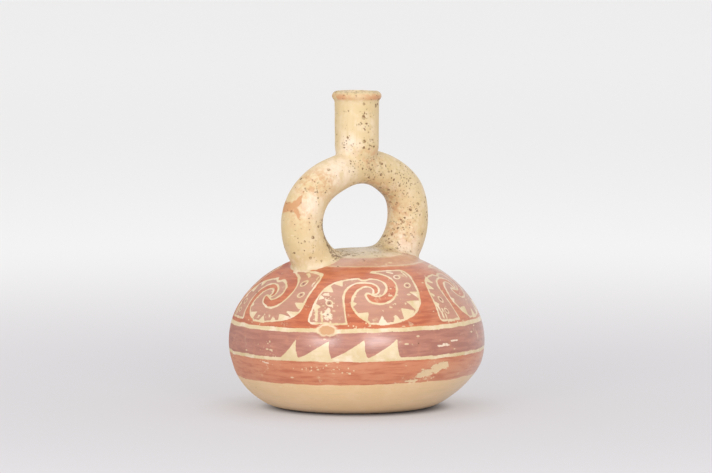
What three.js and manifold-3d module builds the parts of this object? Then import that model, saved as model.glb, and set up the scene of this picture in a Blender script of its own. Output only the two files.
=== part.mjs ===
// Stirrup-spout vessel: one piece of fired clay, hollow from the mouth of the spout, through both arms of
// the stirrup, to the inside of the body. Millimetres, +Z up, origin at the centre of the flat underside.
// +X runs along the stirrup's plane.
import * as THREE from "three";
import { mergeVertices } from "three/addons/utils/BufferGeometryUtils.js";
import Module from "manifold-3d";

// Body: a dome over a bowl, both Lame curves that meet at the widest level, cut flat below.
const BODY_RADIUS = 80;
const WIDEST_Z = 41.5;
const DOME_RISE = 57.6;
const DOME_POWER = 2.02;
const BOWL_DROP = 51.2;
const BOWL_POWER = 2.11;
const FLAT_RADIUS = 45;
const FLAT_EASE = 10;
const WALL = 5.5;
const FLOOR_THICKNESS = 6.5;

// Stirrup: a round tube bent to an ellipse that stands on the dome, a little off the axis.
const ARCH_SHIFT_X = -1.4;
const ARCH_HALF_WIDTH = 43.1;
const ARCH_HALF_HEIGHT = 34.1;
const ARCH_CENTRE_Z = 116.6;
const LEG_RADIUS = 13;
const APEX_RADIUS = 11;
const FOOT_FLARE = 1.5;
const FOOT_ANGLE = THREE.MathUtils.degToRad(-46);
const FOOT_SPREAD = THREE.MathUtils.degToRad(17);
const ARM_BORE_RADIUS = 8.5;
// One shoulder of the arch is lower than the ellipse: [angle round it, how far drawn in, over how many degrees].
const DRAWN_IN = [
  [110, 1.9, 28],
  [150, 0.85, 30],
  [27, -1.2, 20],
];

// Spout: a straight neck with a rolled lip, rounded into the top of the stirrup.
const SPOUT_RADIUS = 13.75;
const SPOUT_ROOT_DEPTH = 12.5;
const SPOUT_BORE_RADIUS = 10.1;
const TOP_Z = 197.3;
const LIP_MID_RADIUS = 12.6;
const LIP_HALF_WIDTH = 2.75;
const LIP_HALF_HEIGHT = 3.9;

const APEX_Z = ARCH_CENTRE_Z + ARCH_HALF_HEIGHT;
const SPOUT_ROOT_Z = APEX_Z + 2.5;
const LIP_MID_Z = TOP_Z - LIP_HALF_HEIGHT;
const BORE_OVERRUN = 5;

// How finely each round shape is faceted.
const BODY_SIDES = 64;
const BODY_ROWS = 11;
const CAVITY_SIDES = 48;
const CAVITY_ROWS = 6;
const ARCH_STEPS = 56;
const ARCH_SIDES = 24;
const ARM_BORE_SIDES = 16;
const SPOUT_SIDES = 36;
const LIP_STEPS = 9;
const ROOT_STEPS = 5;

const wasm = await Module();
wasm.setup();

function solidOf(geometry) {
  const bare = geometry.clone();
  bare.deleteAttribute("normal");
  bare.deleteAttribute("uv");
  const merged = mergeVertices(bare, 1e-4);
  return new wasm.Manifold(
    new wasm.Mesh({
      numProp: 3,
      vertProperties: merged.getAttribute("position").array,
      triVerts: new Uint32Array(merged.index.array),
    }),
  );
}

function geometryOf(solid) {
  const mesh = solid.getMesh();
  const geometry = new THREE.BufferGeometry();
  geometry.setAttribute("position", new THREE.BufferAttribute(mesh.vertProperties, 3));
  geometry.setIndex(new THREE.BufferAttribute(mesh.triVerts, 1));
  geometry.computeVertexNormals();
  return geometry;
}

// A solid of revolution about Z, from a profile of (radius, height) points that starts and ends on the axis.
function turned(profile, sides) {
  const geometry = new THREE.LatheGeometry(profile, sides);
  geometry.rotateX(Math.PI / 2);
  return solidOf(geometry);
}

// Points of the quarter of a Lame curve |r/a|^p + |h/b|^p = 1, from the axis (turn 0) to the rim (turn 1).
function lamePoint(a, b, power, turn) {
  const angle = (turn * Math.PI) / 2;
  return new THREE.Vector2(a * Math.sin(angle) ** (2 / power), b * Math.cos(angle) ** (2 / power));
}

// The radius at which a bowl of half-axes a and b is as deep as depth.
function bowlRadiusAt(a, b, depth) {
  return a * (1 - (depth / b) ** BOWL_POWER) ** (1 / BOWL_POWER);
}

function domeProfile(a, b, rows) {
  const points = [];
  for (let i = 1; i <= rows; i++) {
    const p = lamePoint(a, b, DOME_POWER, 1 - i / rows);
    points.push(new THREE.Vector2(p.x, WIDEST_Z + p.y));
  }
  return points;
}

// The bowl's wall, from radius start up to the widest level.
function bowlProfile(a, b, start, rows) {
  const from = (Math.asin((start / a) ** (BOWL_POWER / 2)) * 2) / Math.PI;
  const points = [];
  for (let i = 0; i <= rows; i++) {
    const p = lamePoint(a, b, BOWL_POWER, from + ((1 - from) * i) / rows);
    points.push(new THREE.Vector2(p.x, WIDEST_Z - p.y));
  }
  return points;
}

function bodySolid() {
  const cut = bowlRadiusAt(BODY_RADIUS, BOWL_DROP, WIDEST_Z);
  const wall = bowlProfile(BODY_RADIUS, BOWL_DROP, FLAT_RADIUS + FLAT_EASE, BODY_ROWS);
  const ease = new THREE.QuadraticBezierCurve(
    new THREE.Vector2(FLAT_RADIUS, 0),
    new THREE.Vector2(cut, 0),
    wall[0],
  );
  const profile = [
    new THREE.Vector2(0, 0),
    ...ease.getPoints(4),
    ...wall.slice(1),
    ...domeProfile(BODY_RADIUS, DOME_RISE, BODY_ROWS),
  ];
  return turned(profile, BODY_SIDES);
}

function cavitySolid() {
  const a = BODY_RADIUS - WALL;
  const drop = BOWL_DROP - WALL;
  const floor = bowlRadiusAt(a, drop, WIDEST_Z - FLOOR_THICKNESS);
  const profile = [
    new THREE.Vector2(0, FLOOR_THICKNESS),
    ...bowlProfile(a, drop, floor, CAVITY_ROWS),
    ...domeProfile(a, DOME_RISE - WALL, CAVITY_ROWS),
  ];
  return turned(profile, CAVITY_SIDES);
}

// The tube's outer radius at an angle round the arch: full in the legs, slimmer over the top, and swelling
// where a leg meets the dome.
function tubeRadiusAt(angle) {
  const slim = THREE.MathUtils.smoothstep(Math.sin(angle), 0, 1);
  const fromFoot = (angle - FOOT_ANGLE) / FOOT_SPREAD;
  const fromOtherFoot = (Math.PI - FOOT_ANGLE - angle) / FOOT_SPREAD;
  const flare = FOOT_FLARE * (Math.exp(-(fromFoot ** 2)) + Math.exp(-(fromOtherFoot ** 2)));
  return THREE.MathUtils.lerp(LEG_RADIUS, APEX_RADIUS, slim) + flare;
}

// How far in from the ellipse the tube's centreline runs.
function drawnInAt(angle) {
  let drawn = 0;
  for (const [spot, depth, spread] of DRAWN_IN) {
    drawn += depth * Math.exp(-(((THREE.MathUtils.radToDeg(angle) - spot) / spread) ** 2));
  }
  return drawn;
}

// A closed tube round the arch's whole ellipse. The part of it inside the body is hollowed away later.
function archTube(radiusAt, sides) {
  const positions = [];
  const index = [];
  for (let i = 0; i < ARCH_STEPS; i++) {
    const angle = -Math.PI / 2 + (2 * Math.PI * i) / ARCH_STEPS;
    const centre = new THREE.Vector3(
      ARCH_SHIFT_X + ARCH_HALF_WIDTH * Math.cos(angle),
      0,
      ARCH_CENTRE_Z + ARCH_HALF_HEIGHT * Math.sin(angle),
    );
    const outward = new THREE.Vector3(
      ARCH_HALF_HEIGHT * Math.cos(angle),
      0,
      ARCH_HALF_WIDTH * Math.sin(angle),
    ).normalize();
    centre.addScaledVector(outward, -drawnInAt(angle));
    for (let j = 0; j < sides; j++) {
      const turn = (2 * Math.PI * j) / sides;
      const p = centre.clone().addScaledVector(outward, radiusAt(angle) * Math.cos(turn));
      p.y += radiusAt(angle) * Math.sin(turn);
      positions.push(p.x, p.y, p.z);
      const next = ((i + 1) % ARCH_STEPS) * sides;
      const side = (j + 1) % sides;
      index.push(i * sides + j, i * sides + side, next + side);
      index.push(i * sides + j, next + side, next + j);
    }
  }
  const geometry = new THREE.BufferGeometry();
  geometry.setAttribute("position", new THREE.Float32BufferAttribute(positions, 3));
  geometry.setIndex(index);
  return solidOf(geometry);
}

// The neck and its rolled lip, still without the bore.
function spoutSolid() {
  const meetsNeck = -Math.acos((SPOUT_RADIUS - LIP_MID_RADIUS) / LIP_HALF_WIDTH);
  const meetsBore = Math.PI - Math.acos((LIP_MID_RADIUS - SPOUT_BORE_RADIUS + 0.2) / LIP_HALF_WIDTH);
  const profile = [];
  for (let i = 0; i <= ROOT_STEPS; i++) {
    const turn = (Math.PI / 2) * (i / ROOT_STEPS);
    profile.push(
      new THREE.Vector2(SPOUT_RADIUS * Math.sin(turn), SPOUT_ROOT_Z - SPOUT_ROOT_DEPTH * Math.cos(turn)),
    );
  }
  for (let i = 0; i <= LIP_STEPS; i++) {
    const angle = THREE.MathUtils.lerp(meetsNeck, meetsBore, i / LIP_STEPS);
    profile.push(
      new THREE.Vector2(
        LIP_MID_RADIUS + LIP_HALF_WIDTH * Math.cos(angle),
        LIP_MID_Z + LIP_HALF_HEIGHT * Math.sin(angle),
      ),
    );
  }
  profile.push(new THREE.Vector2(0, profile.at(-1).y));
  return turned(profile, SPOUT_SIDES);
}

function spoutBore() {
  const profile = [
    new THREE.Vector2(0, APEX_Z),
    new THREE.Vector2(SPOUT_BORE_RADIUS, APEX_Z),
    new THREE.Vector2(SPOUT_BORE_RADIUS, TOP_Z + BORE_OVERRUN),
    new THREE.Vector2(0, TOP_Z + BORE_OVERRUN),
  ];
  return turned(profile, SPOUT_SIDES);
}

function vessel() {
  const clay = bodySolid().add(archTube(tubeRadiusAt, ARCH_SIDES)).add(spoutSolid());
  const hollow = cavitySolid().add(archTube(() => ARM_BORE_RADIUS, ARM_BORE_SIDES)).add(spoutBore());
  const creamSlip = new THREE.MeshStandardMaterial({ color: 0xe6cda2, roughness: 0.5, metalness: 0 });
  const mesh = new THREE.Mesh(geometryOf(clay.subtract(hollow)), creamSlip);
  mesh.name = "vessel";
  return mesh;
}

const group = new THREE.Group();
group.add(vessel());
export default group;
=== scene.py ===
"""Looks of the stirrup-spout vessel: one fired-clay piece with worn slip painting.

Lengths are in millimetres and angles in degrees until they reach Blender, which is in metres and radians.
Azimuths of the painting are counted from the vessel's front, to the right as one looks at it.
"""

from functools import reduce

import bpy
import numpy as np
import openvdb
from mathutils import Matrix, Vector, noise


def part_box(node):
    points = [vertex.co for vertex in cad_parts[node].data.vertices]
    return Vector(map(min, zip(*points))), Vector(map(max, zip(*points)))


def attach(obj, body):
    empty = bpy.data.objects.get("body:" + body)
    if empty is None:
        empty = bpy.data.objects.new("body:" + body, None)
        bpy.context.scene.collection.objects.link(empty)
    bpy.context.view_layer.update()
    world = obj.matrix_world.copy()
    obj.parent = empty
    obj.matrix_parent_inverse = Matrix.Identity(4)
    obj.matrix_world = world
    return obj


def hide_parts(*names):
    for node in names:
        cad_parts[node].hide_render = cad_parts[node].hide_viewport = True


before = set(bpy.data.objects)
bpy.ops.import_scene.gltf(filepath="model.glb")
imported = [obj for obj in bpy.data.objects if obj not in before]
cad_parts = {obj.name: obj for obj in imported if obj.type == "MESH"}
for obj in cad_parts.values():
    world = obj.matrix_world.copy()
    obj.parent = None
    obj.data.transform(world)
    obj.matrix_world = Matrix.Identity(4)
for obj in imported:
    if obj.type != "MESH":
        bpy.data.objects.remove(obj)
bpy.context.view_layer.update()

MM = 0.001
lowest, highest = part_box("vessel")

# Body: a dome over a bowl, both Lame curves that meet at the widest level, cut flat below.
BODY_RADIUS = (highest.x - lowest.x) / 2 / MM
TOP_Z = highest.z / MM
WIDEST_Z = 41.5
DOME_RISE = 57.6
DOME_POWER = 2.02
BOWL_DROP = 51.2
BOWL_POWER = 2.11
BASE_EASE = 4.5
# The foot of the bowl stands this far to one side; the lean starts and ends at these heights.
BOWL_LEAN = 2.4
BOWL_LEAN_TOP_Z = 28.0
BOWL_LEAN_LOW_Z = 8.0
WALL = 5.5
FLOOR_THICKNESS = 6.5

# Stirrup: a tube bent to an ellipse that stands on the dome.
ARCH_X = -1.4
ARCH_Z = 116.6
ARCH_HALF_WIDTH = 43.1
ARCH_HALF_HEIGHT = 34.6
LEG_RADIUS = 13.1
ARM_BORE_RADIUS = 8.5
# (angle round the arch, how much slimmer the tube is there, over how many degrees)
ARCH_SLIM_SPOTS = ((90, 2.4, 58),)
# (angle round the arch, how far its centreline is drawn in there, over how many degrees)
ARCH_DRAWN_IN = ((112, 2.3, 28), (150, 0.85, 30), (27, -1.2, 20))
FOOT_FILLET = 5.0
# No part of the stirrup counts below this height, so the ellipse's lower half stays out of the body.
STIRRUP_FROM_Z = WIDEST_Z + 20

# Spout: a straight neck with a rolled lip.
NECK_RADIUS = 13.75
SPOUT_BORE_RADIUS = 10.1
LIP_MID_RADIUS = 12.6
LIP_HALF_WIDTH = 2.75
LIP_HALF_HEIGHT = 2.9
LIP_UNDERSIDE = 3.2
LIP_POWER = 1.7
LIP_MID_Z = TOP_Z - LIP_HALF_HEIGHT
# The neck is drawn in towards its root, over this rise above the arch's top.
NECK_ROOT_RADIUS = 11.4
NECK_ROOT_Z = ARCH_Z + ARCH_HALF_HEIGHT + 3.5
NECK_ROOT_RISE = 9
SPOUT_FILLET = 3.2
LIP_FILLET = 0.7

# The camera: where it stands, from the middle of the body's widest level, and how far beside that it aims.
VIEW_AZIMUTH = -40.0
VIEW_ELEVATION = 5.8
VIEW_DISTANCE = 3125.0
VIEW_LENS = 252.8
VIEW_AIM_RISE = 64.75
VIEW_AIM_LEFT = 0.44
FRONT = VIEW_AZIMUTH - 90.0

# How finely the outside and the hollow are meshed, and the step that a slope is measured over.
OUTER_VOXEL = 1.22
INNER_VOXEL = 3.0
PROBE = 0.05
# Stands in for the distance to something that isn't there.
FAR = 1e3

# Painted zones, as heights on the body or as distances from its axis.
CROWN_RADIUS = 28.4
COLLAR_RADIUS = 41.4
UPPER_LINE = (53.3, 55.8)
LOWER_LINE = (35.5, 37.5)
BASE_TOP_Z = 20.9
SKIRT_FROM_Z = 70


def rad(degrees):
    return np.radians(degrees)


def wrapped(degrees):
    return (degrees + 180) % 360 - 180


def unit(value):
    """The value, held between 0 and 1."""
    return np.clip(value, 0, 1)


def hump(angle, centre, spread):
    """1 where the angle is at centre, falling off smoothly on both sides."""
    return np.exp(-((wrapped(angle - centre) / spread) ** 2))


def greatest(fields):
    """The greatest of several fields at each point."""
    return reduce(np.maximum, fields)


# ---- clay form, as signed distances


def smooth_min(a, b, width):
    """The lesser of two distances, with a fillet where they are within width of each other."""
    mix = unit(0.5 + 0.5 * (b - a) / width)
    return b * (1 - mix) + a * mix - width * mix * (1 - mix)


def lame_distance(rho, h, a, b, power):
    """Distance from the Lame curve |rho/a|^power + |h/b|^power = 1, to first order."""
    across = np.maximum(np.abs(rho), 1e-6) / a
    along = np.maximum(np.abs(h), 1e-6) / b
    level = np.maximum((across**power + along**power) ** (1 / power), 0.25)
    slope = level ** (1 - power) * np.hypot(across ** (power - 1) / a, along ** (power - 1) / b)
    return (level - 1) / np.maximum(slope, 1e-4)


def egg_distance(rho, z, inset):
    """Distance from the dome and bowl, drawn in by inset."""
    h = z - WIDEST_Z
    radius = BODY_RADIUS - inset
    dome = lame_distance(rho, h, radius, DOME_RISE - inset, DOME_POWER)
    bowl = lame_distance(rho, h, radius, BOWL_DROP - inset, BOWL_POWER)
    return np.where(h > 0, dome, bowl)


def body_distance(rho, z):
    return -smooth_min(-egg_distance(rho, z, 0), z, BASE_EASE)


def cavity_distance(rho, z):
    return np.maximum(egg_distance(rho, z, WALL), FLOOR_THICKNESS - z)


def arch_section(x, z):
    """Distance out from the arch's centreline within its plane, and the angle round the arch."""
    a, b = ARCH_HALF_WIDTH, ARCH_HALF_HEIGHT
    px, pz = np.abs(x - ARCH_X), np.abs(z - ARCH_Z)
    tx = np.full_like(px, 0.7071)
    tz = np.full_like(px, 0.7071)
    for _ in range(4):
        ex = (a * a - b * b) * tx**3 / a
        ez = (b * b - a * a) * tz**3 / b
        reach = np.hypot(a * tx - ex, b * tz - ez) / np.maximum(np.hypot(px - ex, pz - ez), 1e-6)
        tx = unit(((px - ex) * reach + ex) / a)
        tz = unit(((pz - ez) * reach + ez) / b)
        length = np.maximum(np.hypot(tx, tz), 1e-6)
        tx, tz = tx / length, tz / length
    angle = np.degrees(np.arctan2(tz * np.sign(z - ARCH_Z), tx * np.sign(x - ARCH_X)))
    outward = np.where((px / a) ** 2 + (pz / b) ** 2 > 1, 1, -1) * np.hypot(px - a * tx, pz - b * tz)
    for spot, drawn_in, spread in ARCH_DRAWN_IN:
        outward = outward + drawn_in * hump(angle, spot, spread)
    return outward, angle


def arch_radius(angle):
    radius = np.full_like(angle, LEG_RADIUS)
    for spot, slimmer, spread in ARCH_SLIM_SPOTS:
        radius = radius - slimmer * hump(angle, spot, spread)
    return radius


def spout_distance(rho, z):
    """Distance from the neck, which ends in half a sphere inside the arch, and its rolled lip."""
    sunk = unit((NECK_ROOT_Z + NECK_ROOT_RISE - z) / NECK_ROOT_RISE)
    neck = np.hypot(rho, np.maximum(NECK_ROOT_Z - z, 0)) - NECK_RADIUS
    neck = neck + (NECK_RADIUS - NECK_ROOT_RADIUS) * sunk**2
    neck = np.maximum(neck, z - LIP_MID_Z)
    half_height = np.where(z > LIP_MID_Z, LIP_HALF_HEIGHT, LIP_UNDERSIDE)
    lip = lame_distance(rho - LIP_MID_RADIUS, z - LIP_MID_Z, LIP_HALF_WIDTH, half_height, LIP_POWER)
    plug = np.maximum(rho - LIP_MID_RADIUS, np.maximum(z - TOP_Z + 1.2, LIP_MID_Z - 2 - z))
    return smooth_min(neck, np.minimum(lip, plug), LIP_FILLET)


def outer_distance(x, y, z):
    """Signed distance from the vessel's outside, as if it were solid."""
    rho = np.hypot(x, y)
    section, angle = arch_section(x, z)
    arch = np.hypot(section, y) - arch_radius(angle)
    lean = BOWL_LEAN * unit((BOWL_LEAN_TOP_Z - z) / (BOWL_LEAN_TOP_Z - BOWL_LEAN_LOW_Z))
    left = rad(FRONT - 90)
    body = body_distance(np.hypot(x - lean * np.cos(left), y - lean * np.sin(left)), z)
    top = smooth_min(arch, spout_distance(rho, z), SPOUT_FILLET)
    return smooth_min(body, np.where(z > STIRRUP_FROM_Z, top, FAR), FOOT_FILLET)


def inner_distance(x, y, z):
    """Signed distance from the hollow: the cavity and the bore of both arms."""
    section, _ = arch_section(x, z)
    arm = np.hypot(section, y) - ARM_BORE_RADIUS
    arm = np.where(z > STIRRUP_FROM_Z, arm, FAR)
    return np.minimum(cavity_distance(np.hypot(x, y), z), arm)


# ---- meshes from distances


def slope_of(distance, points):
    """How steeply the distance rises along x, y and z at each point."""
    slope = np.zeros_like(points)
    for axis in range(3):
        shift = np.zeros(3)
        shift[axis] = PROBE
        slope[:, axis] = (distance(*(points + shift).T) - distance(*(points - shift).T)) / (2 * PROBE)
    return slope


def surface_of(distance, low, high, voxel):
    """Points and quads of the surface where the distance is 0, with the points drawn exactly onto it."""
    steps = [np.arange(low[i], high[i] + voxel, voxel) for i in range(3)]
    x, y, z = np.meshgrid(*steps, indexing="ij")
    values = distance(x, y, z)
    grid = openvdb.FloatGrid(background=float(3 * voxel))
    grid.copyFromArray(np.clip(values, -3 * voxel, 3 * voxel).astype(np.float32))
    points, quads = grid.convertToQuads(isovalue=0.0)
    points = points.astype(float) * voxel + np.array(low)
    for _ in range(4):
        gap = distance(*points.T)
        slope = slope_of(distance, points)
        steep = np.maximum((slope**2).sum(1), 0.2)
        points -= slope * (np.clip(gap, -voxel, voxel) / steep)[:, None]
    return points, quads


def facing_out(points, quads):
    """The quads, turned over if the solid they close has its faces pointing in."""
    corners = points[quads]
    a, b, c, d = (corners[:, i] for i in range(4))
    volume = (a * np.cross(b, c)).sum() + (a * np.cross(c, d)).sum()
    return quads if volume > 0 else quads[:, ::-1]


def in_scene(name, data):
    """A new object in the scene that shows the data."""
    made = bpy.data.objects.new(name, data)
    bpy.context.scene.collection.objects.link(made)
    return made


def mesh_object(name, points, faces):
    mesh = bpy.data.meshes.new(name)
    mesh.from_pydata((points * MM).tolist(), [], faces)
    mesh.update()
    return in_scene(name, mesh)


def solid_from(name, distance, low, high, voxel):
    points, quads = surface_of(distance, low, high, voxel)
    return mesh_object(name, points, facing_out(points, quads).tolist())


def bore_cylinder(name, radius, low_z, high_z, sides=96, rows=24):
    """The closed drill that opens the spout from the arch up."""
    turn = np.linspace(0, 2 * np.pi, sides, endpoint=False)
    rings = [
        np.stack([radius * np.cos(turn), radius * np.sin(turn), np.full(sides, z)], axis=1)
        for z in np.linspace(low_z, high_z, rows)
    ]
    faces = [list(range(sides))[::-1], [(rows - 1) * sides + i for i in range(sides)]]
    for row in range(rows - 1):
        for i in range(sides):
            j = (i + 1) % sides
            base = row * sides
            faces.append([base + i, base + j, base + sides + j, base + sides + i])
    return mesh_object(name, np.concatenate(rings), faces)


def cut(piece, tool, operation="DIFFERENCE"):
    """Applies a boolean of tool to piece and removes the tool."""
    modifier = piece.modifiers.new("cut", "BOOLEAN")
    modifier.operation = operation
    modifier.solver = "MANIFOLD"
    modifier.object = tool
    graph = bpy.context.evaluated_depsgraph_get()
    made = bpy.data.meshes.new_from_object(piece.evaluated_get(graph))
    piece.modifiers.clear()
    piece.data = made
    bpy.data.objects.remove(tool)


def mesh_points(piece):
    flat = np.empty(len(piece.data.vertices) * 3)
    piece.data.vertices.foreach_get("co", flat)
    return flat.reshape(-1, 3) / MM


def clay_vessel():
    """The vessel with its hollow: the cavity and the arms' bores, opened by the spout's bore."""
    half = BODY_RADIUS + 4
    hollow_top = ARCH_Z + ARCH_HALF_WIDTH + 20
    piece = solid_from(
        "painted_vessel", outer_distance, (-half, -half, -4), (half, half, TOP_Z + 4), OUTER_VOXEL
    )
    hollow = solid_from("hollow", inner_distance, (-half, -half, 0), (half, half, hollow_top), INNER_VOXEL)
    bore = bore_cylinder("bore", SPOUT_BORE_RADIUS, ARCH_Z + ARCH_HALF_HEIGHT, TOP_Z + 6)
    cut(hollow, bore, "UNION")
    cut(piece, hollow)
    return piece


# ---- the painting, as signed distances


def meridian_table():
    """Heights of the dome, and how far along its outline each is from the widest level."""
    turn = np.linspace(0, np.pi / 2, 800)
    rho = BODY_RADIUS * np.cos(turn) ** (2 / DOME_POWER)
    z = WIDEST_Z + DOME_RISE * np.sin(turn) ** (2 / DOME_POWER)
    run = np.concatenate([[0], np.cumsum(np.hypot(np.diff(rho), np.diff(z)))])
    return rho, z, run


DOME_RHO, DOME_Z, DOME_RUN = meridian_table()
SHOULDER_TOP_RUN = float(np.interp(-COLLAR_RADIUS, -DOME_RHO, DOME_RUN))
SHOULDER_LOW_RUN = float(np.interp(UPPER_LINE[0] + 1.3, DOME_Z, DOME_RUN))
MOTIF_RUN = (SHOULDER_TOP_RUN + SHOULDER_LOW_RUN) / 2

# Six volutes stand round the shoulder: (azimuth, how much lower it is drawn, how wide its left head is).
MOTIFS = (
    (-52.0, 4.5, 1.0),
    (9.8, 0.0, 1.0),
    (70.4, 0.0, 0.74),
    (130.5, 1.5, 0.8),
    (190.0, 0.0, 0.8),
    (249.0, 2.0, 0.8),
)
EYE_OF_MOTIF = np.array((-1.0, 1.0))

# The dull pink panel of a motif, before the two red arms cut into it, anticlockwise from its lower left.
PANEL = (
    (-44.5, -22.3), (-30, -22.3), (-10, -22), (-4, -22.2), (3, -22.4), (10, -21.8), (17, -20.2),
    (23, -17.6), (27.2, -13.8), (29.6, -9), (30.2, -3), (29.4, 3), (28, 8.5), (26.6, 14),
    (24.4, 18.8), (21, 21.6), (10, 21.8), (0.8, 21.2), (-2, 14.6), (-8, 13.8), (-14, 12.7),
    (-19.5, 11), (-24.5, 8.6), (-29, 5), (-33, 0.8), (-36.6, -4.6), (-40, -11.5),
)
# Teeth of a panel, as angles and reaches from the middle of the volute:
# (angle and reach of the middle of the base, half its length, angle and reach of the tip).
TEETH = (
    (-7, 31.0, 2.3, -2, 23.5), (-22, 31.6, 3.2, -22, 21.8), (-40, 29.0, 4.4, -37, 20.8),
    (-59, 26.4, 2.2, -52, 20.4), (-80, 24.0, 2.8, -76, 17.6), (-116, 22.6, 4.4, -104, 15.2),
    (-148, 17.8, 2.4, -139, 13.6), (-167, 14.8, 1.7, -160, 11.0), (168, 11.3, 1.2, 172, 8.6),
    (155, 22.4, 3.2, 167, 18.4), (173, 28.8, 3.5, 182, 24.3), (187, 33.6, 1.9, 190, 30.4),
    (197, 39.6, 2.3, 199, 34.4),
)
EYES = ((-28.4, -7.4), (-30.2, -15.4), (16.6, 14.0), (22.7, 5.9))
EYE_RADIUS = 2.0
# Strokes of the two mouths: (start, end, half-width).
STROKES = (
    ((-37.2, -12.5), (-38.2, -20.0), 0.9), ((-34.4, -14.0), (-34.6, -20.5), 0.8),
    ((20.6, 20.0), (24.4, 12.6), 0.55), ((11.0, 19.8), (14.6, 18.2), 0.7),
)
# Half-width of each red arm's brush stroke as it winds in: (degrees turned, half-width).
BELOW_BRUSH = (
    (-12, 6.5), (0, 4.2), (20, 2.2), (50, 2.5), (80, 2.2), (125, 1.4), (165, 1.6), (205, 1.4), (264, 0.7),
)
ABOVE_BRUSH = ((-14, 3.6), (0, 3.0), (50, 2.8), (100, 3.0), (150, 2.5), (192, 2.2), (230, 1.1))


def spiral_points(angles, reach):
    return EYE_OF_MOTIF + np.stack([reach * np.cos(rad(angles)), reach * np.sin(rad(angles))], axis=1)


def arm_from_below():
    """Points and half-widths of the red arm that rises from the lower line: it winds in as a log spiral."""
    turned, widths = zip(*BELOW_BRUSH)
    turn = np.linspace(turned[0], turned[-1], 160)
    reach = 24.8 * np.exp(-turn / 95)
    return spiral_points(237 - turn, reach), np.interp(turn, turned, widths)


def arm_from_above():
    """The same for the red arm that comes over the top: it keeps wide, then closes quickly."""
    turned, widths = zip(*ABOVE_BRUSH)
    turn = np.linspace(turned[0], turned[-1], 150)
    reach = 9.85 + 5.55 * np.cos(rad((turn - 10) / 215 * 180))
    return spiral_points(90 - turn, reach), np.interp(turn, turned, widths)


def rounded(corners, passes=2):
    """The closed outline with its corners cut, Chaikin's way."""
    points = np.array(corners, float)
    for _ in range(passes):
        after = np.roll(points, -1, axis=0)
        leaving = points * 0.82 + after * 0.18
        arriving = points * 0.18 + after * 0.82
        points = np.stack([leaving, arriving], axis=1).reshape(-1, 2)
    return points


def polygon_distance(u, v, corners):
    """Signed distance from a closed outline, positive inside."""
    nearest = np.full(u.shape, np.inf)
    inside = np.zeros(u.shape, bool)
    for (ax, ay), (bx, by) in zip(corners, np.roll(corners, -1, axis=0)):
        ex, ey = bx - ax, by - ay
        wx, wy = u - ax, v - ay
        along = unit((wx * ex + wy * ey) / (ex * ex + ey * ey + 1e-12))
        nearest = np.minimum(nearest, (wx - ex * along) ** 2 + (wy - ey * along) ** 2)
        crosses = (ay > v) != (by > v)
        side = ax + (v - ay) * ex / (ey if abs(ey) > 1e-12 else 1e-12)
        inside ^= crosses & (u < side)
    return np.where(inside, 1, -1) * np.sqrt(nearest)


def stroke_distance(u, v, points, widths):
    """Positive inside a brush stroke that runs through points."""
    return greatest(width - np.hypot(u - x, v - y) for (x, y), width in zip(points, widths))


def segment_distance(u, v, start, end, half_width):
    start, end = np.array(start, float), np.array(end, float)
    run = end - start
    along = unit(((u - start[0]) * run[0] + (v - start[1]) * run[1]) / (run @ run))
    return half_width - np.hypot(u - start[0] - run[0] * along, v - start[1] - run[1] * along)


def polar(angle, reach):
    return EYE_OF_MOTIF + reach * np.array([np.cos(rad(angle)), np.sin(rad(angle))])


def tooth(base_angle, base_reach, half_base, tip_angle, tip_reach):
    base, tip = polar(base_angle, base_reach), polar(tip_angle, tip_reach)
    inward = (tip - base) / np.linalg.norm(tip - base)
    along = np.array([-inward[1], inward[0]]) * half_base * 1.3
    return np.array([base + along, base - along, tip])


def motif_fields(u, v):
    """Signed distances of one motif: the pink panel, its cream parts, and how far the nearest eye is."""
    below = stroke_distance(u, v, *arm_from_below())
    above = stroke_distance(u, v, *arm_from_above())
    panel = np.minimum(polygon_distance(u, v, rounded(PANEL)), -np.maximum(below, above))
    teeth = greatest(polygon_distance(u, v, tooth(*spec)) for spec in TEETH)
    mouths = greatest(segment_distance(u, v, *stroke) for stroke in STROKES)
    cream = np.minimum(np.maximum(teeth, mouths), panel + 0.4)
    eye = reduce(np.minimum, (np.hypot(u - x, v - y) for x, y in EYES))
    return panel, cream, eye


# Waves on the middle band stand in groups: the azimuths where each wave of a group starts and falls away.
WAVE_EDGES = (-36.2, -27.8, -12.2, 3.7, 18.4)
WAVE_GROUPS = (0.0, 121.0, 239.0)
WAVE_HEIGHT = 11.6
WAVE_HOLLOW = 1.35


def wave_outline(left, right):
    """One wave on the line: a hollow rise from the left and a steep fall at the right."""
    rise = [(left + (right - left) * t, WAVE_HEIGHT * t**WAVE_HOLLOW) for t in np.linspace(0, 1, 9)]
    fall = [(right - 0.2, WAVE_HEIGHT * 0.7), (right + 0.1, WAVE_HEIGHT * 0.4), (right + 1.4, 0)]
    return np.array(rise + fall + [(right, -2), (left, -2)])


def wave_distance(azimuth, z):
    """Positive inside the cream waves that stand on the lower line."""
    edges = rad(np.array(WAVE_EDGES)) * BODY_RADIUS
    waves = [wave_outline(left, right) for left, right in zip(edges, edges[1:])]
    return greatest(
        polygon_distance(rad(wrapped(azimuth - group)) * BODY_RADIUS, z - LOWER_LINE[1], wave)
        for group in WAVE_GROUPS
        for wave in waves
    )


def hand_wobble(points, size, seed):
    """Smooth noise between about -1 and 1 at each point."""
    offset = Vector((seed * 17.0, seed * 5.0, seed * 11.0))
    return np.array([noise.noise(Vector(p) / size + offset) for p in points])


def round_axis(points):
    """Distance from the axis, azimuth from the front, and height of each point."""
    x, y, z = points.T
    return np.hypot(x, y), wrapped(np.degrees(np.arctan2(y, x)) - FRONT), z


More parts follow.
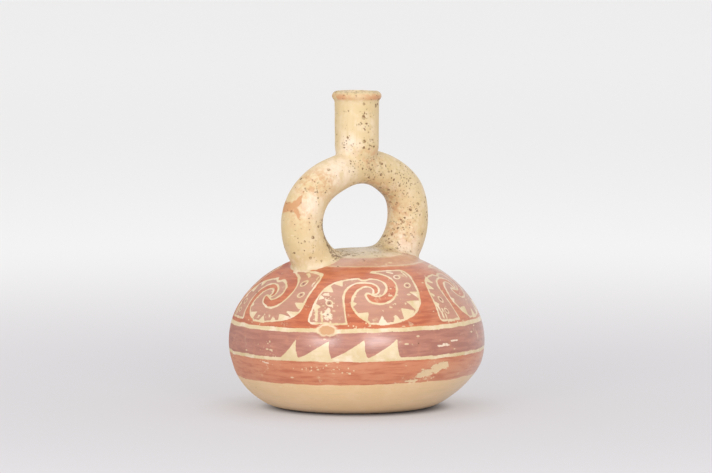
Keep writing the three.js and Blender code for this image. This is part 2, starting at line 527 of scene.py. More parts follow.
def on_motif(azimuth, rho, z, motif):
    """Places on the shoulder, measured across and up from the middle of a motif as it is drawn there."""
    centre, lowered, head_width = motif
    u = rad(wrapped(azimuth - centre)) * rho
    u = np.where(u < -19, -19 + (u + 19) / head_width, u)
    v = np.interp(z, DOME_Z, DOME_RUN) - MOTIF_RUN
    to_ends = np.clip((v + 24) / 10, 0.15, 1) * np.clip((27 - v) / 20, 0.2, 1)
    u = u - 0.027 * lowered * np.clip(v + 8, 0, 20) * unit((u - 5) / 10)
    v = v + lowered * (1 + 0.035 * np.clip(u, 0, 25)) * to_ends
    return u, v


def all_motifs(points, wobble):
    """The fields of motif_fields for all the motifs round the shoulder together."""
    rho, azimuth, z = round_axis(points)
    off_body = egg_distance(rho, z, 0)
    panel, cream, eye = np.full(z.shape, -FAR), np.full(z.shape, -FAR), np.full(z.shape, FAR)
    shoulder = (z > UPPER_LINE[0] - 2) & (off_body > -1) & (off_body < 3)
    for motif in MOTIFS:
        u, v = on_motif(azimuth[shoulder], rho[shoulder], z[shoulder], motif)
        found = motif_fields(u + wobble[shoulder], v + wobble[shoulder])
        panel[shoulder] = np.maximum(panel[shoulder], found[0])
        cream[shoulder] = np.maximum(cream[shoulder], found[1])
        eye[shoulder] = np.minimum(eye[shoulder], found[2])
    return panel, cream, eye


def between(value, limits):
    """Positive between the two limits."""
    return np.minimum(value - limits[0], limits[1] - value)


def skirt_distance(points, wobble):
    """Positive on the arms and on the cream that spreads from their feet, furthest at the front left."""
    x, y, z = points.T
    section, angle = arch_section(x, z)
    spread = 1.6 - 0.025 * x - 0.08 * y + 1.6 * wobble
    return np.where(z > SKIRT_FROM_Z, spread + arch_radius(angle) - np.hypot(section, y), -FAR)


def paint_fields(points):
    """Where the pink and the cream lie, positive inside; also the eyes, the hollow and the foot."""
    rho, azimuth, z = round_axis(points)
    wobble = hand_wobble(points, 9.0, 1) * 0.55
    line_z = z + wobble - 0.65 - 0.9 * np.sin(rad(azimuth - 10))
    panel, cream, eye = all_motifs(points, wobble)

    on_dome = z > WIDEST_Z
    band = between(line_z, (LOWER_LINE[0] + 1, UPPER_LINE[1] - 1))
    collar = np.where(on_dome, between(rho - wobble, (CROWN_RADIUS, COLLAR_RADIUS)), -FAR)
    panel = np.maximum(panel, np.maximum(band, collar))

    cream = greatest((
        cream,
        between(line_z, LOWER_LINE),
        between(line_z, UPPER_LINE),
        wave_distance(azimuth, line_z),
        BASE_TOP_Z - line_z,
        np.where(on_dome, CROWN_RADIUS - rho, -FAR),
        egg_distance(rho, z, 0) - 0.9,
        skirt_distance(points, wobble),
    ))
    return {
        "panel": panel,
        "cream": cream,
        "eye": eye,
        "inside": -outer_distance(*points.T) - 1.0,
        "low": BASE_TOP_Z - line_z,
    }


def near(points, centre, size):
    """1 at centre, falling to 0 at size away; size is one radius, or one along each of x, y and z."""
    gap = (points - np.array(centre)) / np.array(size)
    return 1 - np.sqrt((gap**2).sum(1))


def smear(points, start, end, start_width, end_width):
    """Positive inside a stroke from start to end whose half-width changes along it."""
    run = np.subtract(end, start)
    along = unit(((points - start) @ run) / (run @ run))
    gap = np.linalg.norm(points - start - along[:, None] * run, axis=1)
    return start_width + (end_width - start_width) * along - gap


def on_body(azimuth, z):
    """The point of the body's outside at an azimuth from the front and a height."""
    power, drop = (DOME_POWER, DOME_RISE) if z > WIDEST_Z else (BOWL_POWER, BOWL_DROP)
    rho = BODY_RADIUS * (1 - (abs(z - WIDEST_Z) / drop) ** power) ** (1 / power)
    turn = rad(azimuth + FRONT)
    return np.array([rho * np.cos(turn), rho * np.sin(turn), z])


# Scrapes through the paint of the body, and finer scratches:
# (half-width, the places that it runs through, as azimuths and heights).
SCRAPES = (
    (1.7, ((23.5, 22.4), (27.5, 23.0), (31.0, 25.0))),
    (2.9, ((31.5, 26.6), (37.0, 29.2), (43.0, 31.6))),
    (1.2, ((-17.2, 75.5), (-14.2, 70.0))),
    (2.0, ((-14.6, 64.8), (-12.6, 63.0))),
    (0.9, ((-13.4, 69.0), (-13.8, 65.0))),
)
SCRATCHES = (
    (0.55, ((38.5, 44.2), (45.5, 44.6))),
    (0.45, ((41.5, 45.0), (44.5, 44.8))),
    (0.5, ((46.8, 46.6), (51.0, 46.8))),
    (0.35, ((-47.0, 34.0), (-41.0, 32.5))),
    (0.4, ((132.0, 47.0), (139.0, 44.5))),
)
# The jagged patch on the front left leg where the slip is lost: (start, end, half-width at each).
LEG_PATCH = (
    ((-54.8, 6.0, 127.6), (-55.1, -2.0, 127.6), 3.8, 3.4),
    ((-55.1, -2.0, 127.6), (-52.2, -6.0, 130.6), 3.4, 2.6),
    ((-52.2, -6.0, 130.6), (-47.9, -6.4, 137.6), 2.6, 0.2),
    ((-53.8, -6.0, 126.0), (-53.6, -8.4, 121.0), 1.8, 1.2),
    ((-53.6, -8.4, 121.0), (-52.0, -10.2, 119.0), 1.2, 0.6),
)
# A long worn patch low on the back: (start and end as azimuth and height, half-width at each).
BACK_PATCH = ((152, 28), (163, 31), 3.0, 4.0)
# The flake knocked out of the upper line, as azimuth and height, and its radii.
FLAKE = (-13.4, 55.2)
FLAKE_RADII = (8.4, 8.4, 4.6)
# Where the clay is pitted most: (place, radius, how much).
PITTED = (
    ((-13, -5, 164), 7, 1.6), ((-4, -13, 161), 10, 1.5), ((5, -11, 151), 14, 1.7),
    ((-8, -12, 154), 13, 1.0), ((30, -9, 140), 15, 2.0), ((21, -9, 135), 11, 1.4),
    ((37, -8, 123), 15, 1.3), ((34, -9, 109), 16, 0.9), ((24, -9, 95), 9, 1.2),
    ((-38, -9, 142), 14, 0.6), ((-46, -10, 104), 8, 0.5), ((0, -12, 178), 16, 0.4),
    ((10, 12, 152), 14, 1.4), ((-26, 9, 142), 13, 1.3), ((35, 10, 130), 12, 1.3),
    ((-43, 9, 112), 12, 0.9), ((6, 12, 176), 12, 0.7), ((-17, -29, 93.8), 4, 2.0),
    ((29, -12, 97), 5, 1.8),
)
# Painted highlights: where the cream of the arms is drawn palest, mostly on their front where the lamps
# fall brightest: (place, radius).
HIGHLIGHT_SPOTS = (
    ((31, -10, 100), 13),
    ((-22, -11, 151), 15),
    ((-47, -12, 130), 11),
    ((-12, -7, 164), 9),
    ((30, 9, 146), 16),
)
# Painted shade: where the cream is drawn deeper in colour, on the neck, the apex and the left leg, where
# the lamps fall brightest: (place, radii).
SHADED_SPOTS = (
    ((9, -9, 178), (10, 10, 26)),
    ((-1, -12, 151), (10, 10, 8)),
    ((-57, -4, 112), (12, 14, 20)),
)
# Where the slip is stained brown, and painted shade under the stirrup's loop: (place, radii, how much more
# or less than elsewhere).
STAINS_AND_SHADE = (
    ((-40, -8, 142), (20, 18, 14), 0),
    ((33, -4, 112), (16, 16, 22), 0),
    ((14, 2, 141), (22, 16, 9), 0),
    ((-50, -6, 122), (14, 16, 18), -0.25),
    ((2, -14, 156), (20, 12, 10), -0.1),
    ((26, -24, 88), (30, 30, 12), 0),
    # Painted shade on the underside of the stirrup's loop.
    ((24, 2, 126), (14, 15, 18), 0.2),
)
# Dirt that has run down the inner edge of the front left leg and along the crown's edge:
# (the places it runs through, half-width at the start and end of each stretch).
DIRT_TRAILS = (
    (((-36.6, -9.0, 117.0), (-31.8, -8.8, 105.8)), 1.1, 1.9),
    (((-31.8, -8.8, 105.8), (-29.6, -10.4, 100.8), (-27.3, -13.0, 96.5)), 1.9, 2.3),
    (((-26.2, -14.5, 95.3), (-19.1, -11.5, 97.1), (-14.2, -12.5, 97.5), (-11.4, -15.0, 97.5)), 0.5, 0.4),
)
# Painted shade inside the loop of the stirrup: (place, radii).
LOOP_SHADE = ((20, 3, 128), (14, 15, 18))
# Where the paint has come off in specks: (azimuth, height, half-width, half-height, how much).
WEAR = (
    (-15.5, 67, 10, 11, 1.1),
    (-43, 42, 10, 8, 0.9),
    (-12, 31.5, 34, 3.5, 0.9),
    (49, 58, 10, 3, 1.2),
    (2, 57.5, 16, 4, 1.0),
    (-52, 61, 14, 6, 0.8),
    (33, 24, 12, 4, 0.8),
    (20, 72, 16, 14, 0.45),
    (88, 72, 24, 16, 0.7),
    (160, 52, 18, 12, 0.8),
    (-118, 42, 18, 7, 0.8),
    (215, 68, 16, 10, 0.8),
)


def smears(points, places, start_width, end_width):
    """Positive inside the strokes that join the places in turn."""
    return greatest(
        smear(points, start, end, start_width, end_width) for start, end in zip(places, places[1:])
    )


def lost_fields(points):
    """Where slip or paint is lost, positive inside: flaked, worn to the clay, scraped, scratched."""
    ragged = hand_wobble(points, 3.5, 5) * 0.5 + hand_wobble(points, 1.6, 6) * 0.25
    leg_patch = greatest(smear(points, *stretch) for stretch in LEG_PATCH)
    start, end, *half_widths = BACK_PATCH
    back_patch = smear(points, on_body(*start), on_body(*end), *half_widths)
    marks = {
        "flake": near(points, on_body(*FLAKE), FLAKE_RADII) + 0.3 * ragged,
        "bare": np.maximum(leg_patch + 2.2 * ragged, back_patch + 2.0 * ragged),
    }
    for name, table in (("scrape", SCRAPES), ("scratch", SCRATCHES)):
        marks[name] = greatest(
            smears(points, [on_body(*place) for place in trail], half_width, half_width)
            for half_width, trail in table
        )
    return marks


def paint_age_fields(points):
    """How much the paint of the body has gone in specks, and how much it is paled, from 0 to 1: faded low
    on the band and on the collar, and paled towards the left and right of the camera's view as painted
    sheen.
    """
    rho, azimuth, z = round_axis(points)
    wear = np.zeros(z.shape)
    for spot_azimuth, spot_z, half_width, half_height, amount in WEAR:
        off = wrapped(azimuth - spot_azimuth) * rad(1) * rho
        wear = np.maximum(wear, amount * (1 - np.hypot(off / half_width, (z - spot_z) / half_height)))
    wear = wear * (z < WIDEST_Z + DOME_RISE)
    # Faded below the lower line; the two humps towards the sides of the view are painted sheen.
    faded_and_sheen = 0.8 * unit((37 - z) / 2) + 0.42 * hump(azimuth, 78, 34)
    faded_and_sheen = faded_and_sheen + 0.15 * hump(azimuth, -85, 28)
    faded_and_sheen = np.where((rho < COLLAR_RADIUS + 1) & (z > WIDEST_Z), 1.0, 0.8 * faded_and_sheen)
    return {"wear": unit(wear), "faded_and_sheen": unit(faded_and_sheen)}


def foot_darkening(points, off_body):
    """Specks and film drawn darker in the angle where the arms stand on the dome, strongest on the inner
    side of the feet.
    """
    section, _ = arch_section(points[:, 0], points[:, 2])
    arch = np.abs(np.hypot(section, points[:, 1]) - LEG_RADIUS)
    near_joint = np.exp(-((np.maximum(arch, np.abs(off_body)) / 3.0) ** 2))
    inner = unit((28 - np.abs(points[:, 0])) / 14)
    return near_joint * (0.25 + 0.75 * inner)


def dirt_and_shade_fields(points, off_body):
    """How pitted the surface is, where dirt lies on it and has run down, and the painted shade inside the
    stirrup's loop, from 0 to 1.
    """
    rho, _, z = round_axis(points)
    crown = unit((30 - rho) / 10) * unit((z - 85) / 6) * (off_body < 12)
    trails = unit(1 + greatest(smears(points, *trail) for trail in DIRT_TRAILS) / 4)
    pits = (0.2 + 0.04 * (points[:, 0] > 0)) * (off_body > 3) + 0.8 * crown + trails
    for place, radius, amount in PITTED:
        pits = np.maximum(pits, amount * unit(1.3 * near(points, place, radius)))
    pits = 0.004 + pits * np.clip(0.7 + 1.2 * hand_wobble(points, 7.0, 8), 0.1, 1.4)
    grime_and_shade = unit(crown * 0.52 + foot_darkening(points, off_body))
    # Painted shade under the stirrup's loop.
    grime_and_shade = np.maximum(grime_and_shade, 1.6 * near(points, *LOOP_SHADE))
    return {"pits": unit(pits), "grime_and_shade": grime_and_shade, "trails": trails}


def slip_fields(points, off_body):
    """How the cream slip differs from place to place, with its painted highlights and painted shade, and
    the marks round the lip, mostly from 0 to 1.
    """
    _, azimuth, z = round_axis(points)
    painted_highlight = greatest(near(points, place, radius) for place, radius in HIGHLIGHT_SPOTS)
    painted_shade = greatest(near(points, place, radii) for place, radii in SHADED_SPOTS)
    stain_and_shade = greatest(near(points, place, radii) + more for place, radii, more in STAINS_AND_SHADE) * 1.5
    lip = unit((z - LIP_MID_Z + 2.4) / 0.8) * unit((TOP_Z - 0.9 - z) / 1.2)
    return {
        "painted_highlight": np.maximum(painted_highlight, 0),
        "painted_shade": unit(painted_shade),
        "stain_and_shade": unit(stain_and_shade),
        "lip": lip * (1.0 - 0.65 * hump(azimuth, 4, 24)),
        "rim": unit((z - TOP_Z + 1.7) / 0.9),
        "arm": unit(off_body / 2) * (z > WIDEST_Z),
        "matte": 0.85 * hump(azimuth, -88, 30),
    }


def damage_fields(points):
    """All that age and use have done to the surface, with the painted highlights, sheen and shade."""
    rho, _, z = round_axis(points)
    off_body = egg_distance(rho, z, 0)
    dirt_and_shade = dirt_and_shade_fields(points, off_body)
    return lost_fields(points) | paint_age_fields(points) | dirt_and_shade | slip_fields(points, off_body)


def store(piece, fields):
    for name, values in fields.items():
        attribute = piece.data.attributes.new(name, "FLOAT", "POINT")
        attribute.data.foreach_set("value", np.asarray(values, np.float32))


def sculpted(points, fields):
    """The points moved by the finger and scraper marks of the hand, and sunk where the surface is lost."""
    outside = unit(1 - np.maximum(fields["inside"], 0))
    standing = unit(points[:, 2] / 6)
    swell = hand_wobble(points, 26.0, 2) * 0.34 + hand_wobble(points, 9.0, 3) * 0.1
    lost = unit(fields["flake"] * 2.2) * 0.35 + unit(fields["bare"]) * 0.18
    lost = lost + unit(fields["scrape"]) * 0.22
    slope = slope_of(outer_distance, points)
    slope /= np.maximum(np.linalg.norm(slope, axis=1), 1e-9)[:, None]
    return points + slope * ((swell * standing - lost) * outside)[:, None]


# ---- shader helpers


class Nodes:
    """Builds one material's node tree with short calls; lengths are in millimetres."""

    def __init__(self, name):
        self.material = bpy.data.materials.new(name)
        self.material.use_nodes = True
        self.tree = self.material.node_tree
        self.tree.nodes.clear()

    def new(self, kind, **settings):
        node = self.tree.nodes.new("ShaderNode" + kind)
        for key, value in settings.items():
            setattr(node, key, value)
        return node

    def feed(self, socket, value):
        if isinstance(value, bpy.types.NodeSocket):
            self.tree.links.new(value, socket)
        else:
            socket.default_value = value

    def math(self, operation, a, b=0.0, c=0.0):
        node = self.new("Math", operation=operation)
        for socket, value in zip(node.inputs, (a, b, c)):
            self.feed(socket, value)
        return node.outputs[0]

    def add(self, a, b):
        return self.math("ADD", a, b)

    def minus(self, a, b):
        return self.math("SUBTRACT", a, b)

    def times(self, a, b):
        return self.math("MULTIPLY", a, b)

    def scaled(self, value, by, plus):
        return self.math("MULTIPLY_ADD", value, by, plus)

    def most(self, first, *others):
        """The greatest of the values."""
        for other in others:
            first = self.math("MAXIMUM", first, other)
        return first

    def field(self, name):
        """One of the fields that are stored on the mesh."""
        return self.new("Attribute", attribute_name=name).outputs["Fac"]

    def ramp(self, value, low, high, to_low=0.0, to_high=1.0):
        node = self.new("MapRange", interpolation_type="SMOOTHSTEP")
        for socket, given in zip(node.inputs, (value, low, high, to_low, to_high)):
            self.feed(socket, given)
        return node.outputs[0]

    def blend(self, factor, a, b):
        node = self.new("Mix", data_type="RGBA")
        self.feed(node.inputs[0], factor)
        self.feed(node.inputs[6], a)
        self.feed(node.inputs[7], b)
        return node.outputs[2]

    def mix(self, factor, a, b):
        return self.add(self.times(factor, self.minus(b, a)), a)

    def place(self, stretch=(1, 1, 1)):
        """Object coordinates in millimetres, squeezed by stretch."""
        coords = self.new("TexCoord").outputs["Object"]
        node = self.new("VectorMath", operation="MULTIPLY")
        self.feed(node.inputs[0], coords)
        node.inputs[1].default_value = [1 / MM * s for s in stretch]
        return node.outputs[0]

    def noise(self, size, detail, roughness=0.55, stretch=(1, 1, 1)):
        """Noise with features of about size, longer where stretch is less than 1."""
        node = self.new("TexNoise")
        self.feed(node.inputs["Vector"], self.place(stretch))
        node.inputs["Scale"].default_value = 1 / size
        node.inputs["Detail"].default_value = detail
        node.inputs["Roughness"].default_value = roughness
        return node.outputs["Fac"]

    def cells(self, where, size):
        """Distance to the nearest of many scattered points, and three random numbers of each."""
        node = self.new("TexVoronoi")
        self.feed(node.inputs["Vector"], where)
        node.inputs["Scale"].default_value = 1 / size
        parts = self.new("SeparateColor")
        self.feed(parts.inputs[0], node.outputs["Color"])
        return node.outputs["Distance"], parts.outputs

    def show(self, shader):
        """Joins the shader to the material's output."""
        output = self.new("OutputMaterial")
        self.feed(output.inputs["Surface"], shader.outputs[0])


def srgb(red, green, blue):
    """A display colour of 0 to 255 a channel as the linear colour that a shader wants."""
    display = np.array((red, green, blue)) / 255
    linear = np.where(display <= 0.04045, display / 12.92, ((display + 0.055) / 1.055) ** 2.4)
    return (*[float(c) for c in linear], 1.0)


CREAM = srgb(218, 195, 156)
CREAM_DEEP = srgb(206, 181, 134)
CREAM_PALE = srgb(233, 214, 190)
CREAM_LOW = srgb(222, 184, 138)
# The cream of the painted highlights on the arms.
CREAM_HIGHLIGHT = srgb(234, 213, 192)
RED = srgb(192, 103, 61)
RED_DEEP = srgb(168, 80, 46)
RED_PALE = srgb(200, 135, 100)
PINK = srgb(178, 118, 98)
PINK_DEEP = srgb(160, 102, 85)
PINK_PALE = srgb(202, 154, 126)
# The clay where slip is lost, also the colour of stains and of the painted shade under the stirrup's loop.
CLAY_BROWN = srgb(196, 140, 96)
PIT_BROWN = srgb(122, 88, 58)
# The dark brown of dirt and of the eyes' dots, also of the painted shade under the stirrup's loop.
DARK_BROWN = srgb(98, 66, 45)
RAW_INSIDE = srgb(168, 124, 92)


class Clay(Nodes):
    """The vessel's material: three slips, what is drawn in them, what age has done to them, and painted
    highlights, sheen and shade.

    Each method gives a colour, or how much there is of something, from 0 to 1.
    """

    def __init__(self):
        super().__init__("painted_clay")
        self.ragged = self.scaled(self.noise(1.6, 3), 0.9, -0.45)
        self.broad = self.noise(22, 3)
        self.patchy = self.noise(5, 4)
        self.grain = self.noise(0.7, 3)
        self.brushed = self.noise(2.0, 4, stretch=(0.14, 0.14, 1.0))
        level_marks = self.noise(1.1, 4, stretch=(0.06, 0.06, 1.0))
        upright_marks = self.noise(1.4, 4, stretch=(1.0, 1.0, 0.06))
        self.burnish = self.mix(self.field("arm"), level_marks, upright_marks)
        self.panel = self.edged("panel", 0.5)

    def edged(self, name, by):
        """A field whose edges are made ragged."""
        return self.scaled(self.ragged, by, self.field(name))

    def above_band(self, amount):
        """The amount above the middle band, and 0 below."""
        return self.ramp(self.field("low"), -36, -34, amount, 0.0)

    def spots(self, amount, spacing, smallest, largest, share):
        """Scattered spots of uneven outline, as many as amount says; sizes are parts of the spacing."""
        warp = self.new("TexNoise")
        warp.inputs["Scale"].default_value = 1 / 1.1
        self.feed(warp.inputs["Vector"], self.place())
        shifted = self.new("VectorMath", operation="MULTIPLY_ADD")
        self.feed(shifted.inputs[0], warp.outputs["Color"])
        shifted.inputs[1].default_value = (1.3, 1.3, 1.3)
        self.feed(shifted.inputs[2], self.place())
        gap, random = self.cells(shifted.outputs[0], spacing)
        size = self.scaled(self.math("POWER", random[1], 2.0), largest - smallest, smallest)
        chosen = self.math("LESS_THAN", random[0], self.times(amount, share))
        return self.times(chosen, self.ramp(self.minus(size, gap), -0.03, 0.05))

    def cream_slip(self):
        slip = self.blend(self.ramp(self.broad, 0.35, 0.6), CREAM_DEEP, CREAM)
        slip = self.blend(self.ramp(self.noise(14, 4), 0.5, 0.66, 0.0, 0.75), slip, CREAM_PALE)
        slip = self.blend(self.times(self.field("arm"), 0.45), slip, CREAM_DEEP)
        slip = self.blend(self.ramp(self.patchy, 0.45, 0.75, 0.0, 0.4), slip, CREAM_PALE)
        # Painted highlights on the arms, in a paler cream.
        highlight = self.ramp(self.noise(6, 4), 0.3, 0.55, 0.2, 1.3)
        highlight = self.math("MINIMUM", self.times(self.field("painted_highlight"), highlight), 0.75)
        slip = self.blend(highlight, slip, CREAM_HIGHLIGHT)
        # Painted shade: deeper cream where the lamps fall brightest.
        slip = self.blend(self.ramp(self.field("painted_shade"), 0.0, 0.6, 0.0, 0.75), slip, CREAM_DEEP)
        slip = self.blend(self.ramp(self.field("low"), -0.2, 0.2, 0.0, 0.85), slip, CREAM_LOW)
        return self.blend(self.ramp(self.burnish, 0.48, 0.72, 0.0, 0.5), slip, CREAM_DEEP)

    def red_slip(self):
        slip = self.blend(self.ramp(self.brushed, 0.35, 0.62), RED_DEEP, RED)
        # The red pales where it is faded, and towards the sides of the view as painted sheen.
        fading_and_sheen = self.scaled(self.ramp(self.broad, 0.35, 0.7), 0.45, self.field("faded_and_sheen"))
        fading_and_sheen = self.times(fading_and_sheen, self.ramp(self.brushed, 0.3, 0.6, 0.45, 0.95))
        return self.blend(fading_and_sheen, slip, RED_PALE)

    def pink_slip(self):
        slip = self.blend(self.ramp(self.brushed, 0.35, 0.65), PINK_DEEP, PINK)
        slip = self.blend(self.ramp(self.patchy, 0.5, 0.8, 0.0, 0.4), slip, RED_PALE)
        # Paler pink above the middle band, as painted light on the shoulder, which faces up to the light.
        slip = self.blend(self.above_band(0.4), slip, PINK_PALE)
        collar = self.ramp(self.field("faded_and_sheen"), 0.85, 0.95)
        collar = self.times(collar, self.ramp(self.patchy, 0.35, 0.6, 0.35, 0.85))
        return self.blend(collar, slip, PINK_PALE)

    def cream_cover(self):
        """Cream over the pigments: the panels' outlines, the rings of the eyes, and the cream areas."""
        outline = self.minus(0.68, self.math("ABSOLUTE", self.minus(self.panel, 0.45)))
        outline = self.add(outline, self.ramp(self.patchy, 0.35, 0.65, -0.22, 0.2))
        ring = self.minus(0.42, self.math("ABSOLUTE", self.minus(self.field("eye"), EYE_RADIUS)))
        lines = self.ramp(self.most(outline, ring), -0.15, 0.2)
        lines = self.times(lines, self.scaled(self.field("faded_and_sheen"), -0.45, 1.0))
        return self.most(lines, self.ramp(self.edged("cream", 0.7), -0.15, 0.2))

    def painting(self, covered):
        pigment = self.blend(self.ramp(self.panel, -0.15, 0.15), self.red_slip(), self.pink_slip())
        return self.blend(covered, pigment, self.cream_slip())

    def rubbed(self):
        """Cream that shows where paint has rubbed off in short dashes and specks, and where it is thin."""
        gap, random = self.cells(self.place((0.4, 0.4, 1.0)), 1.6)
        dashes = self.ramp(self.minus(self.scaled(random[1], 0.3, 0.1), gap), -0.04, 0.08)
        frequent = self.scaled(self.field("wear"), 0.75, 0.03)
        dashes = self.times(dashes, self.math("LESS_THAN", random[0], frequent))
        flecks = self.spots(self.field("wear"), 1.7, 0.18, 0.48, 0.9)
        thin = self.add(self.noise(9, 5, 0.7), self.times(self.ragged, 0.14))
        return self.most(self.times(self.most(dashes, flecks), 0.8), self.ramp(thin, 0.6, 0.72, 0, 0.55))

    def stained_and_shaded(self):
        # Brown stains, with painted shade under the stirrup's loop.
        patches = self.ramp(self.noise(3.4, 5, 0.65), 0.42, 0.6)
        return self.times(self.times(self.field("stain_and_shade"), patches), 0.6)

    def flake_rim(self):
        return self.ramp(self.edged("flake", 0.3), 0.1, 0.28, 0, 0.85)

    def bare_clay(self):
        """Clay that shows where the slip is chewed away or has flaked off."""
        chewed = self.add(self.ragged, self.scaled(self.patchy, 2.4, -1.2))
        chewed = self.ramp(self.add(self.field("bare"), chewed), 0.0, 0.7, 0, 0.85)
        flaked = self.ramp(self.edged("flake", 0.2), 0.3, 0.5)
        return self.most(chewed, self.times(flaked, 0.8))

    def lip_wear(self):
        patches = self.ramp(self.noise(5.0, 4), 0.38, 0.52, 0.05, 0.9)
        return self.times(self.field("lip"), patches)

    def scraped(self):
        scrape = self.edged("scrape", 3.0)
        scrape = self.add(scrape, self.ramp(self.patchy, 0.35, 0.6, -1.2, 0.8))
        scrape = self.add(scrape, self.ramp(self.brushed, 0.38, 0.6, -1.3, 0.6))
        return self.ramp(scrape, -0.2, 0.6, 0.0, 0.85)

    def scratched(self):
        return self.ramp(self.edged("scratch", 1.2), -0.3, 0.15, 0.0, 0.9)

    def pitted(self):
        pits = self.field("pits")
        small = self.spots(pits, 1.4, 0.16, 0.36, 1.0)
        middling = self.spots(pits, 2.4, 0.14, 0.46, 0.85)
        large = self.spots(pits, 6.0, 0.08, 0.22, 0.3)
        return self.most(small, middling, large)

    def dirt_and_shade(self):
        """Specks and a thin film of dirt, with the painted shade under the stirrup's loop, dirt that has
        run down, and dirt on the top of the lip.
        """
        specks = self.ramp(self.noise(1.3, 4, 0.7), 0.46, 0.58)
        specks = self.times(specks, self.ramp(self.patchy, 0.36, 0.56))
        film = self.ramp(self.noise(7, 4, 0.6), 0.35, 0.65, 0.05, 0.25)
        grime_and_shade = self.times(self.field("grime_and_shade"), self.most(self.times(specks, 0.75), film))
        run_down = self.scaled(self.noise(1.7, 4, 0.7), 2.6, -1.3)
        run_down = self.ramp(self.add(self.field("trails"), run_down), 0.74, 1.04, 0, 0.85)
        rim = self.ramp(self.noise(1.9, 3, 0.6), 0.5, 0.6)
        rim = self.times(self.times(self.field("rim"), rim), 0.35)
        return self.most(grime_and_shade, run_down, rim)

    def relief(self, covered, pit, dull):
        """The height that the bump follows: raised by burnish, brush and cover, sunk by pits and wear."""
        layers = (
            (self.grain, 0.05),
            (self.burnish, 0.1),
            (self.patchy, 0.14),
            (covered, 0.05),
            (pit, -0.45),
            (self.times(dull, self.grain), -0.3),
        )
        height = 0.0
        for layer, by in layers:
            height = self.scaled(layer, by, height)
        bump = self.new("Bump")
        bump.inputs["Strength"].default_value = 0.7
        bump.inputs["Distance"].default_value = MM
        self.feed(bump.inputs["Height"], height)
        return bump.outputs[0]

    def surface(self, colour, covered, pit, dull):
        """The shader: burnished slip, glossier on the body than on the arms, and matt where it is worn."""
        arm, matte = self.field("arm"), self.field("matte")
        roughness = self.ramp(self.broad, 0.3, 0.7, 0.3, 0.4)
        for amount, by in ((covered, 0.06), (arm, 0.12), (matte, 0.3)):
            roughness = self.scaled(amount, by, roughness)
        burnished = self.times(self.scaled(arm, -0.48, 0.6), self.minus(1.0, matte))
        shader = self.new("BsdfPrincipled")
        self.feed(shader.inputs["Base Color"], colour)
        self.feed(shader.inputs["Roughness"], self.most(roughness, self.times(dull, 0.85)))
        self.feed(shader.inputs["Specular IOR Level"], self.scaled(matte, -0.35, 0.5))
        self.feed(shader.inputs["Coat Weight"], self.times(self.minus(1.0, dull), burnished))
        shader.inputs["Coat Roughness"].default_value = 0.24
        self.feed(shader.inputs["Normal"], self.relief(covered, pit, dull))
        return shader


def painted_clay():
    """The painting, then all that has happened to it since, one thing over the other, with painted
    highlights, sheen and shade among them.
    """
    clay = Clay()
    covered = clay.cream_cover()
    colour = clay.painting(covered)
    colour = clay.blend(clay.rubbed(), colour, CREAM)
    colour = clay.blend(clay.stained_and_shaded(), colour, CLAY_BROWN)
    colour = clay.blend(clay.flake_rim(), colour, CREAM)
    bare = clay.bare_clay()
    colour = clay.blend(clay.most(bare, clay.lip_wear()), colour, CLAY_BROWN)
    scrape = clay.scraped()
    colour = clay.blend(scrape, colour, clay.blend(clay.above_band(0.8), CREAM, CREAM_PALE))
    eye_dot = clay.ramp(clay.minus(0.8, clay.field("eye")), -0.2, 0.2, 0, 0.8)
    colour = clay.blend(eye_dot, colour, DARK_BROWN)
    scratch = clay.scratched()
    colour = clay.blend(scratch, colour, CREAM_PALE)
    pit = clay.pitted()
    pit_depth = clay.ramp(clay.noise(1.8, 2), 0.38, 0.6, 0.35, 0.9)
    colour = clay.blend(clay.times(pit, pit_depth), colour, PIT_BROWN)
    # Dirt, with the painted shade under the stirrup's loop.
    dirt_and_shade = clay.dirt_and_shade()
    colour = clay.blend(clay.times(dirt_and_shade, 0.8), colour, DARK_BROWN)
    inside = clay.ramp(clay.field("inside"), 0.3, 2.0)
    colour = clay.blend(inside, colour, RAW_INSIDE)
    dull = clay.most(bare, scrape, scratch, pit, inside, dirt_and_shade)
    clay.show(clay.surface(colour, covered, pit, dull))
    return clay.material


def make_vessel():
    """The painted vessel, with its fields stored on the mesh for the material to read."""
    piece = clay_vessel()
    points = mesh_points(piece)
    fields = paint_fields(points) | damage_fields(points)
    moved = sculpted(points, fields)
    piece.data.vertices.foreach_set("co", (moved * MM).astype(np.float32).ravel())
    piece.data.update()
    store(piece, fields)
    piece.data.polygons.foreach_set("use_smooth", [True] * len(piece.data.polygons))
    piece.data.materials.clear()
    piece.data.materials.append(painted_clay())
    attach(piece, "root")
    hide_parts("vessel")
    return piece


# ---- studio


def direction(azimuth, elevation):
    """The way out from the vessel at an azimuth from its front and an elevation."""
    turn, rise = rad(azimuth + FRONT), rad(elevation)
    return Vector((np.cos(turn) * np.cos(rise), np.sin(turn) * np.cos(rise), np.sin(rise)))


def make_camera():
    """The camera stands before the vessel's front."""
    back = direction(0, VIEW_ELEVATION)
    right = direction(90, 0)
    up = back.cross(right)
    middle = Vector((0, 0, WIDEST_Z * MM))
    aim = middle + up * VIEW_AIM_RISE * MM - right * VIEW_AIM_LEFT * MM
    data = bpy.data.cameras.new("camera")
    data.lens = VIEW_LENS
    data.sensor_width = 36
    data.clip_end = 50
    camera = in_scene("camera", data)
    camera.location = middle + back * VIEW_DISTANCE * MM
    camera.rotation_euler = (aim - camera.location).to_track_quat("-Z", "Y").to_euler()
    bpy.context.scene.camera = camera


# The paper's tones: darker near the vessel as painted shade, lighter far out; and the colour of its painted
# glow.
PAPER_SHADED_NEAR = srgb(166, 163, 166)
PAPER = srgb(210, 209, 209)
PAPER_FAR = srgb(218, 217, 217)
PAPER_GLOW = srgb(252, 251, 252)
PAPER_SIZE = 18.0


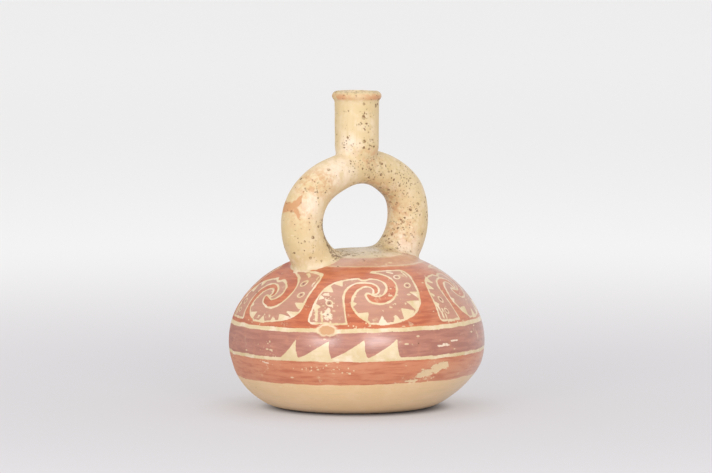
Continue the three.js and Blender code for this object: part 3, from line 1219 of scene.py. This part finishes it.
def make_backdrop():
    """A wide level sheet of paper, drawn greyer round the vessel as painted shade, that glows a little
    except under its foot; the glow is painted light that lifts the shade round the vessel.
    """
    n = Nodes("backdrop_paper")
    shader = n.new("BsdfPrincipled")
    length = n.new("VectorMath", operation="LENGTH")
    n.feed(length.inputs[0], n.new("TexCoord").outputs["Object"])
    away = length.outputs["Value"]
    tone = n.blend(n.ramp(away, 0.15, 1.3), PAPER_SHADED_NEAR, PAPER)
    tone = n.blend(n.ramp(away, 1.8, 5.0), tone, PAPER_FAR)
    n.feed(shader.inputs["Base Color"], tone)
    # Painted glow: the paper gives off light of its own, except within a few centimetres of the foot.
    shader.inputs["Emission Color"].default_value = PAPER_GLOW
    n.feed(shader.inputs["Emission Strength"], n.ramp(away, 0.047, 0.064, 0.0, 0.28))
    shader.inputs["Roughness"].default_value = 0.9
    n.show(shader)
    mesh = bpy.data.meshes.new("backdrop")
    half = PAPER_SIZE / 2
    corners = [(-half, -half, 0), (half, -half, 0), (half, half, 0), (-half, half, 0)]
    mesh.from_pydata(corners, [], [(0, 1, 2, 3)])
    mesh.materials.append(n.material)
    floor = in_scene("backdrop", mesh)


def area_light(name, azimuth, elevation, distance, width, height, power):
    """A softbox that looks at the vessel from an azimuth and an elevation; metres and watts."""
    data = bpy.data.lights.new(name, "AREA")
    data.shape = "RECTANGLE"
    data.size = width
    data.size_y = height
    data.energy = power
    target = Vector((0, 0, WIDEST_Z * MM))
    lamp = in_scene(name, data)
    lamp.location = target + distance * direction(azimuth, elevation)
    lamp.rotation_euler = (target - lamp.location).to_track_quat("-Z", "Y").to_euler()


def make_lights():
    """Two softboxes before the vessel, one over it, and an even white surround."""
    area_light("softbox_left", -29, 12, 2.0, 0.7, 0.4, 11)
    area_light("softbox_right", 19, 12, 2.0, 0.8, 0.4, 14)
    area_light("top", 150, 86, 2.6, 2.2, 2.2, 13)
    world = bpy.data.worlds.new("studio")
    world.use_nodes = True
    background = world.node_tree.nodes["Background"]
    background.inputs["Color"].default_value = (1, 1, 1, 1)
    background.inputs["Strength"].default_value = 0.8
    bpy.context.scene.world = world
    bpy.context.scene.view_settings.view_transform = "Standard"


def main():
    make_camera()
    make_vessel()
    make_backdrop()
    make_lights()


main()
